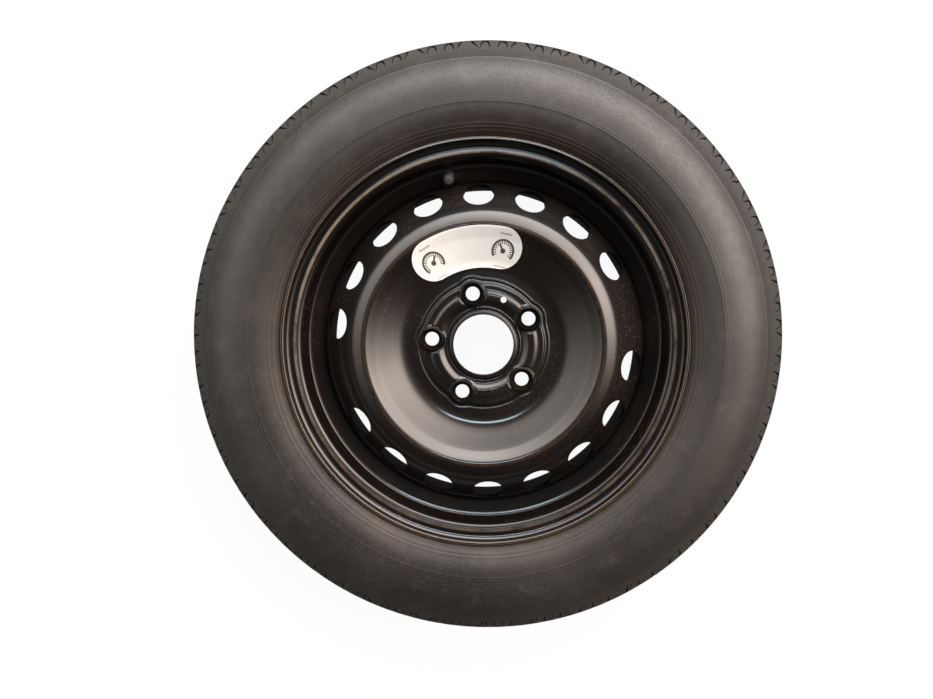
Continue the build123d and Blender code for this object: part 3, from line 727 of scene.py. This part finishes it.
def tyreLines():  # outboard half about the tyre's own middle: sidewall, band over the shoulder, inside
    half = tyre["tread"] / 2
    edge = tyre["radius"] - tyre["crown"] + math.sqrt(tyre["crown"]**2 - half**2)
    foot = (edge - tyre["buttress"], half + tyre["buttressOut"])
    sideTop = (foot[0] - tyre["step"], foot[1] + tyre["step"])
    flange = rim["width"] / 2
    sideFoot = (lipRadius + tyre["beadRise"], flange + rim["curve"])
    wide = (tyre["widest"], tyre["section"] / 2)
    count = tyre["sideSteps"]
    side = np.concatenate([arcFlat(wide, sideFoot, count)[:0:-1], arcFlat(wide, sideTop, count + 1)])
    run = np.gradient(side, axis=0)
    normal = np.stack([-run[:, 1], run[:, 0]], -1) / np.linalg.norm(run, axis=1)[:, None]
    normal *= np.sign(normal[count, 1])
    rise = np.zeros(len(side))
    keep = set(range(0, len(side), tyre["keepStep"])) | {len(side) - 1}
    for place, width, height in tyre["rings"]:
        rise += height * np.clip(1 - abs(side[:, 0] - place) / width, 0, 1) ** 0.8
        for off in (-1.05, -0.45, 0.0, 0.45, 1.05):
            keep.add(int(np.argmin(abs(side[:, 0] - place - off * width))))
    side = (side + normal * rise[:, None])[sorted(keep)]

    reach = rim["curve"] + tyre["beadFit"]
    curveAt = lipRadius - rim["curve"]

    def onFlange(turn):
        return (curveAt + reach * math.sin(turn), flange + rim["curve"] - reach * math.cos(turn))

    heel = (rim["seatRadius"] + tyre["beadFit"], flange - tyre["beadFit"])
    toe = (heel[0] - tyre["beadWidth"] * math.tan(math.radians(rim["taper"])), heel[1] - tyre["beadWidth"])
    bead = [onFlange(math.radians(tyre["wrap"]) * t) for t in (1, 0.66, 0.33, 0)]
    bead += list(bentLine([bead[-1], heel, toe], [rim["heel"] + 0.6], 18)[1:])
    coreTop = (heel[0] + tyre["coreHeight"], sideFoot[1] - tyre["coreWidth"])
    insideWide = (wide[0], wide[1] - tyre["wall"])
    insideTop = (foot[0] - tyre["shoulderWall"], foot[1] - tyre["shoulderWall"] / 2)
    inside = list(arcFlat(insideWide, coreTop, 5)[:0:-1]) + list(arcFlat(insideWide, insideTop, 6))
    deep = tyre["treadWall"]
    inside += [(tyre["radius"] - deep - deep * (z / insideTop[1]) ** 2, z) for z in (30.0, 15.0)]
    ribEdge = tyre["grooves"][2] + tyre["grooveWidth"] / 2
    band = bentLine([foot, (edge, half), (tyre["radius"] - 0.2, ribEdge)], [tyre["shoulder"]], 12)
    band[-1] = (tyre["radius"] - band[-1][1] ** 2 / (2 * tyre["crown"]), band[-1][1])
    return np.array(bead[::-1]), side, band, np.array(inside)


def stroke(path, width):  # closed outline round an open path
    path = np.array(path, float)
    run = np.gradient(path, axis=0)
    aside = np.stack([-run[:, 1], run[:, 0]], -1) / np.linalg.norm(run, axis=1)[:, None]
    wide = np.broadcast_to(np.asarray(width, float), len(path))[:, None] / 2
    return np.concatenate([path + aside * wide, (path - aside * wide)[::-1]])


def insideOutline(point, outline):
    x, y = point
    hit = False
    for (ax, ay), (bx, by) in zip(outline, np.roll(outline, -1, axis=0)):
        if (ay > y) != (by > y) and x < ax + (y - ay) * (bx - ax) / (by - ay):
            hit = not hit
    return hit


def nearOutline(point, outline, gap):
    a, b = outline, np.roll(outline, -1, axis=0)
    run = b - a
    t = np.clip(((point - a) * run).sum(1) / (run**2).sum(1), 0, 1)
    return np.min(np.linalg.norm(a + run * t[:, None] - point, axis=1)) < gap


def touched(point, outline, gap):
    return insideOutline(point, outline) or nearOutline(point, outline, gap)


def patterned(line, length, cuts, depth):  # one flat group of a band; a cut is its outline and its floor
    reach = np.concatenate([[0], np.cumsum(np.linalg.norm(np.diff(line, axis=0), axis=1))])
    across = [k * length / tyre["perGroup"] for k in range(tyre["perGroup"] + 1)]
    rows = sorted(set(np.round(reach, 4)) | set(np.round(np.arange(0, reach[-1], 4.0), 4)))
    rows = [rows[0]] + [b for a, b in zip(rows, rows[1:]) if b - a > 0.5 or b == rows[-1]]
    points, depths, edges = [], [], []
    for v in rows:
        for u in across:
            spot = np.array((u, v))
            border = v in (rows[0], rows[-1]) or u in (across[0], across[-1])
            if border or not any(touched(spot, one, 0.6) for one, two in cuts):
                points.append((u, v))
                depths.append(0.0)
    for one, two in cuts:
        for outline, low in ((one, 0.0), (two, depth)):
            start = len(points)
            points += [tuple(p) for p in outline]
            depths += [low] * len(outline)
            edges += [(start + k, start + (k + 1) % len(outline)) for k in range(len(outline))]
    made, _, faces, origin, _, _ = delaunay_2d_cdt([Vector(p) for p in points], edges, [], 0, 1e-5, True)
    low = [depths[o[0]] if o else 0.0 for o in origin]
    return np.array([tuple(p) for p in made]), np.array(low), faces, reach


def wrapBand(line, length, cuts, depth, side):  # a patterned group laid round the tyre
    flat, low, faces, reach = patterned(line, length, cuts, depth)
    run = np.gradient(line, axis=0)
    normal = np.stack([run[:, 1], -run[:, 0]], -1) / np.linalg.norm(run, axis=1)[:, None]
    if normal[len(normal) // 2] @ np.array((1, 0.3)) < 0:
        normal = -normal
    r = np.interp(flat[:, 1], reach, line[:, 0]) - low * np.interp(flat[:, 1], reach, normal[:, 0])
    z = np.interp(flat[:, 1], reach, line[:, 1]) - low * np.interp(flat[:, 1], reach, normal[:, 1])
    groups = []
    for index in range(tyre["groups"]):
        turn = (flat[:, 0] / length + index) * 2 * math.pi / tyre["groups"]
        groups.append((np.stack([r * np.cos(turn), r * np.sin(turn), middle + side * z], -1), faces))
    return joined(*groups)


def shoulderCuts(length, edge):  # two arches and two short slashes in each group, then cross cuts on the rib
    cuts = []
    wide, foot, top = tyre["notchWidth"], tyre["notchFoot"], tyre["notchTop"] - tyre["notchWidth"] / 2

    def addCut(path, width, floor):
        cuts.append((stroke(path, width), stroke(path, np.asarray(width) * floor)))

    for centre in tyre["arches"]:
        u = centre * length
        leg = [(5.0, foot), (4.5, foot + 2.6), (3.7, foot + 5.2), (2.0, top - 0.35)]
        arch = [(u - x, v) for x, v in leg] + [(u, top)] + [(u + x, v) for x, v in leg[::-1]]
        addCut(arch, wide * np.array([0.5, 0.7, 1.1, 1.8, 2.1, 1.7, 1.0, 0.7, 0.5]), 0.5)
    for centre, lean in tyre["slashes"]:
        u = centre * length
        slash = [(u - lean * 2.4, foot + 8.6), (u, foot + 4.4), (u + lean * 2.4, foot + 0.1)]
        addCut(slash, [wide * 1.5, wide, wide * 0.5], 0.5)
    for centre in tyre["shoulderSipes"]:
        u = centre * length
        addCut([(u - 1.6, edge + 5.6), (u, edge + 10.0), (u + 1.6, edge + 14.4)], tyre["sipeWidth"], 0.6)
    return cuts


def buildTyre():
    bead, side, band, inside = tyreLines()
    count = tyre["groups"] * tyre["perGroup"]
    length = 2 * math.pi * tyre["notchRadius"] / tyre["groups"]
    edge = np.linalg.norm(band[1] - band[0]) + 4.6        # the shoulder's edge, along the band
    parts = []
    for hand in (1, -1):
        flank = np.concatenate([bead, side, band[:1]])
        parts.append(spin(np.stack([flank[:, 0], middle + hand * flank[:, 1]], -1), count))
        parts.append(wrapBand(band, length, shoulderCuts(length, edge), tyre["notchDepth"], hand))

    def crownAt(z):
        return tyre["radius"] - z * z / (2 * tyre["crown"])

    half = tyre["grooveWidth"] / 2
    for z in tyre["grooves"]:
        wall, base = (crownAt(z) - tyre["grooveDepth"] * part for part in (0.8, 1))
        groove = [
            (crownAt(z - half), z - half), (wall, z - half + 0.7), (base, z - half + 1.4),
            (base, z + half - 1.4), (wall, z + half - 0.7), (crownAt(z + half), z + half),
        ]
        parts.append(spin([(r, middle + h) for r, h in groove], count))
    for below, above in zip(tyre["grooves"], tyre["grooves"][1:]):
        low, high = below + half, above - half
        rib = np.array([(crownAt(h), h) for h in np.linspace(low, high, 5)])
        wide = high - low
        cuts = []
        for centre, lean in tyre["ribSipes"]:
            u = centre * length
            zigzag = [(-2.6, 1.6), (-0.5, wide / 2 - 1), (0.5, wide / 2 + 1), (2.6, wide - 1.6)]
            path = [(u + lean * x, h) for x, h in zigzag]
            cuts.append((stroke(path, tyre["sipeWidth"]), stroke(path, tyre["sipeWidth"] * 0.6)))
        parts.append(wrapBand(rib, length, cuts, tyre["sipeDepth"], 1))
    lining = np.concatenate([bead[:1], inside, inside[::-1] * (1, -1), bead[:1] * (1, -1)])
    parts.append(spin([(r, middle + z) for r, z in lining], count))
    mesh = newMesh("tyre", *joined(*parts), 3e-6)
    return addPiece("tyreCover", mesh, "rubber", "wheel", "tyre", 34)


buildTyre()


# Valve: rubber body, threaded stem and ribbed cap, drawn about the valve's own axis
valve = {
    "tip": 31.0, "rubberTop": 19.5, "topRadius": 4.7, "button": (7.3, 4.5), "collar": (7.2, 3.5), "neck": 5.8,
    "groove": 5.71, "sheet": 1.34, "stemBore": 2.94, "stem": 2.9, "thread": 3.85, "pitch": 0.79375,
    "threadDepth": 0.42, "stemBottom": -7.0, "coreBore": 2.65, "seatBore": 1.95, "airHole": 1.3,
    "cap": 5.1, "capTop": 3.5, "capFoot": 19.9, "capRoof": 32.26, "capLid": 33.86, "ribs": 12, "rib": 0.55,
}


def buildValveBody():
    v = valve
    sheet, low = v["sheet"], -v["sheet"] - v["button"][1]
    outline = bentLine([
        (v["stemBore"], low), (v["button"][0], low), (v["button"][0], -sheet), (v["groove"], -sheet),
        (v["groove"], sheet), (v["collar"][0], sheet), (v["collar"][0] - 0.3, sheet + 1.4),
        (v["neck"], sheet + v["collar"][1]), (v["topRadius"] + 0.25, v["rubberTop"] - 2.4),
        (v["topRadius"], v["rubberTop"]), (v["stemBore"], v["rubberTop"]),
    ], [1.4, 0.5, 0.2, 0.2, 0.5, 0.8, 2.0, 1.5, 0.9], 15)
    points, faces = spin(outline, 64, True)
    mesh = newMesh("body", onValve(points), faces)
    return addPiece("valveBody", mesh, "valveRubber", "wheel", "valve_rubber")


def buildStem():
    v = valve
    low, tip = v["rubberTop"] + 0.04, v["tip"]
    rows = [(v["stem"], v["stemBottom"]), (v["stem"], low), (v["thread"] - 0.1, low)]
    rows += [(v["thread"], h) for h in np.linspace(low + 0.2, tip - 0.6, 92)]
    rows += [
        (v["thread"] - 0.6, tip), (v["coreBore"] + 0.25, tip), (v["coreBore"], tip - 0.3),
        (v["coreBore"], tip - 6), (v["seatBore"], tip - 8), (v["seatBore"], tip - 20),
        (v["airHole"], tip - 20), (v["airHole"], v["stemBottom"]),
    ]
    points, faces = spin(rows, 48, True)
    turn = np.arctan2(points[:, 1], points[:, 0]) / (2 * math.pi)
    onThread = (abs(np.hypot(points[:, 0], points[:, 1]) - v["thread"]) < 0.01)
    wave = abs(((points[:, 2] / v["pitch"] - turn) % 1) - 0.5) * 2
    ends = np.clip((points[:, 2] - low) / 0.9, 0, 1) * np.clip((tip - points[:, 2]) / 0.9, 0, 1)
    shrink = 1 - v["threadDepth"] * wave * ends * onThread / v["thread"]
    points[:, :2] *= shrink[:, None]
    mesh = newMesh("stem", onValve(points), faces)
    return addPiece("threadedStem", mesh, "brass", "wheel", "valve_stem", 50)


def buildCap():
    v = valve
    inner, body = v["thread"] + 0.08, v["cap"] - 0.6
    foot, lid, top = v["capFoot"], v["capLid"], v["capTop"]
    rows = [(inner, foot), (body - 0.2, foot), (body, foot + 0.3)]
    rows += [(body, h) for h in np.linspace(foot + 0.9, lid - 3.2, 12)]
    rows += [
        (body - 0.05, lid - 2.7), (body - 0.45, lid - 2.35), (top + 0.2, lid - 2.1), (top, lid - 1.8),
        (top, lid - 0.6), (top - 0.2, lid - 0.2), (top - 0.6, lid), (1.6, lid), (0.02, lid - 0.15),
        (0.02, v["capRoof"]), (inner, v["capRoof"]),
    ]
    points, faces = spin(rows, 144, True)
    radius, turn = np.hypot(points[:, 0], points[:, 1]), np.arctan2(points[:, 1], points[:, 0])
    onBody = (abs(radius - body) < 0.02) & (points[:, 2] > foot + 0.5) & (points[:, 2] < lid - 2.8)
    rib = np.clip(np.cos(turn * v["ribs"]), 0, 1) ** 0.6 * v["rib"]
    points[onBody, :2] *= (1 + rib[onBody] / body)[:, None]
    mesh = newMesh("cap", onValve(points), faces, 1e-8)
    return addPiece("dustCap", mesh, "capPlastic", "cap", "valve_cap", 40)


buildValveBody()
buildStem()
buildCap()


# Spring of the valve core, which on the real valve shortens as the pin is pressed
coil = {
    "low": 20.7, "high": 24.1, "radius": 0.8, "wire": 0.13, "turns": 4.5, "travel": 1.5,
    "steps": 130, "sides": 10,
}


def buildSpring():
    c = coil
    part = np.linspace(0, 1, c["steps"] + 1)[:, None]
    turn = part * c["turns"] * 2 * math.pi
    around = np.linspace(0, 2 * math.pi, c["sides"], endpoint=False)[None, :]
    reach = c["radius"] + c["wire"] * np.cos(around)
    rise = c["low"] + c["wire"] + part * (c["high"] - c["low"] - 2 * c["wire"]) + c["wire"] * np.sin(around)
    rings = np.stack([reach * np.cos(turn), reach * np.sin(turn), rise], -1)
    points, faces = lofted(rings)
    mesh = newMesh("spring", onValve(points), faces)
    piece = addPiece("coreSpring", mesh, "springSteel", "wheel", "core_spring", 60)
    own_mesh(piece)


buildSpring()

# CAD nodes that stay as they are
keptNodes = {
    "speed_label": "sticker", "core_plug": "brass", "core_barrel": "brass", "core_gasket": "sealRubber",
    "core_pin": "springSteel", "core_cup": "brass", "core_seat_seal": "sealRubber", "cap_seal": "sealRubber",
}
for node, finish in keptNodes.items():
    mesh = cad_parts[node].data
    mesh.materials.clear()
    mesh.materials.append(finishes[finish])
print("kept nodes finished:", len(keptNodes))

# Stage: a pale floor that turns up far out, soft window light from the upper right and one cool strip
stageSet = {
    "floor": -0.1135, "flat": 5.0, "turnUp": 0.9, "wall": 1.2, "white": 0.8, "dull": 0.06, "shine": 0.94,
    "dim": (0.045, 0.037, 0.032),
    "windows": (                          # azimuth, sine of elevation, tightness, height, strength, colour
        (6.0, 0.53, 9.0, 0.23, 10.5, (1.0, 0.85, 0.74)), (45.0, 0.54, 9.0, 0.21, 7.0, (1.0, 0.88, 0.79)),
        (78.0, 0.47, 9.0, 0.15, 7.8, (1.0, 0.93, 0.88)), (112.0, 0.5, 7.0, 0.18, 3.9, (1.0, 0.95, 0.91)),
        (152.0, 0.52, 6.0, 0.2, 2.3, (1.0, 0.91, 0.83)), (72.0, 0.28, 5.0, 0.11, 7.0, (0.8, 0.92, 1.0)),
        (40.0, 0.3, 8.0, 0.14, 3.6, (1.0, 0.93, 0.87)), (264.0, 0.7, 1.5, 0.3, 0.12, (1.0, 0.95, 0.9)),
    ),
    "strips": ((78.0, 74.0, 1.7, (0.62, 0.15), 7.4, (0.74, 0.9, 1.0)),),
    "glossy": 0.02,
}


def towards(azimuth, elevation):
    a, e = math.radians(azimuth), math.radians(elevation)
    return Vector((math.cos(a) * math.cos(e), math.sin(a) * math.cos(e), math.sin(e)))


def rays(wire):  # which kind of ray meets the surface
    path = wire.node("LightPath").socket.node.outputs
    return [Wire(wire.tree, path[f"Is {kind} Ray"]) for kind in ("Camera", "Glossy", "Transmission")]


def buildStage():
    s = stageSet
    turn = np.linspace(0, math.pi / 2, 13)
    line = [(0, 0), (s["flat"] / 2, 0)]
    line += [(s["flat"] + s["turnUp"] * math.sin(t), s["turnUp"] * (1 - math.cos(t))) for t in turn]
    line += [(s["flat"] + s["turnUp"], s["wall"])]
    points, faces = spin(line, 96)
    mesh = newMesh("floor", points / mm, faces, 1e-6)
    mesh.flip_normals()
    mesh.polygons.foreach_set("use_smooth", [True] * len(mesh.polygons))
    floor = bpy.data.objects.new("studioFloor", mesh)
    floor.location.z = s["floor"] - 0.0003
    bpy.context.scene.collection.objects.link(floor)
    made, wire, _ = newFinish("paleFloor")
    camera, glossy, through = rays(wire)
    seen = camera.most(through).most(glossy * s["glossy"])
    bounce = wire.node("BsdfDiffuse", {}, {"Color": grey(s["dull"])})
    matt = wire.node("BsdfDiffuse", {}, {"Color": grey(s["white"])})
    glow = wire.node("Emission", {}, {"Color": grey(1.0), "Strength": 1.0})
    cloth = wire.node("MixShader", {}, {0: seen, 1: bounce, 2: matt})
    mixed = wire.node("MixShader", {}, {0: seen * s["shine"], 1: cloth, 2: glow})
    under = wire.node("NewGeometry", {}, {}, "Backfacing")
    clear = wire.node("BsdfTransparent", {}, {"Color": grey(1.0)})
    mixed = wire.node("MixShader", {}, {0: under, 1: mixed, 2: clear})  # open to a view from below
    wire.node("OutputMaterial", {}, {"Surface": mixed})
    mesh.materials.append(made)


def buildLight():
    s = stageSet
    world = bpy.data.worlds.new("softRoom")
    bpy.context.scene.world = world
    world.use_nodes = True
    world.node_tree.nodes.clear()
    wire = Wire(world.node_tree)
    look = wire.node("TexCoord", {}, {}, "Generated")
    x, y, z = split(look)
    radius = fromAxis(x, y)
    total = s["dim"]
    for azimuth, height, tight, spread, strength, colour in s["windows"]:
        way = math.radians(azimuth)
        facing = (x * math.cos(way) + y * math.sin(way)) / radius.most(0.001)
        level = (z - height) / spread
        lobe = ((facing - 1) * tight - level * level).exponent() * strength
        tinted = wire.node("VectorMath", {"operation": "SCALE"}, {0: colour, "Scale": lobe})
        total = wire.node("VectorMath", {"operation": "ADD"}, {0: total, 1: tinted})
    room = wire.node("Background", {}, {"Color": total, "Strength": 1.0})
    plain = wire.node("Background", {}, {"Color": grey(1.0), "Strength": 1.0})
    camera, _, through = rays(wire)
    back = wire.node("MixShader", {}, {0: camera.most(through), 1: room, 2: plain})  # white past the floor
    wire.node("OutputWorld", {}, {"Surface": back})
    for index, (azimuth, elevation, distance, size, power, colour) in enumerate(s["strips"]):
        lamp = bpy.data.lights.new(f"strip{index}", "AREA")
        lamp.shape, lamp.size, lamp.size_y = "RECTANGLE", *size
        lamp.energy, lamp.color = power, colour
        strip = bpy.data.objects.new(f"strip{index}", lamp)
        strip.location = towards(azimuth, elevation) * distance
        strip.rotation_euler = towards(azimuth, elevation).to_track_quat("Z", "Y").to_euler()
        strip.visible_camera = False
        bpy.context.scene.collection.objects.link(strip)


view = {"place": (0.0171, 0.0496, 0.7260), "turn": (-4.562, 1.991, -11.951), "lens": 25.32, "sensor": 36.0}


def buildCamera():
    lens = bpy.data.cameras.new("photoCamera")
    lens.sensor_fit, lens.sensor_width, lens.lens = "HORIZONTAL", view["sensor"], view["lens"]
    lens.clip_start, lens.clip_end = 0.01, 50
    camera = bpy.data.objects.new("photoCamera", lens)
    camera.location = view["place"]
    camera.rotation_euler = [math.radians(a) for a in view["turn"]]
    bpy.context.scene.collection.objects.link(camera)
    bpy.context.scene.camera = camera


buildStage()
buildLight()
buildCamera()
bpy.context.scene.view_settings.view_transform = "Standard"
print("stage, light and camera set")
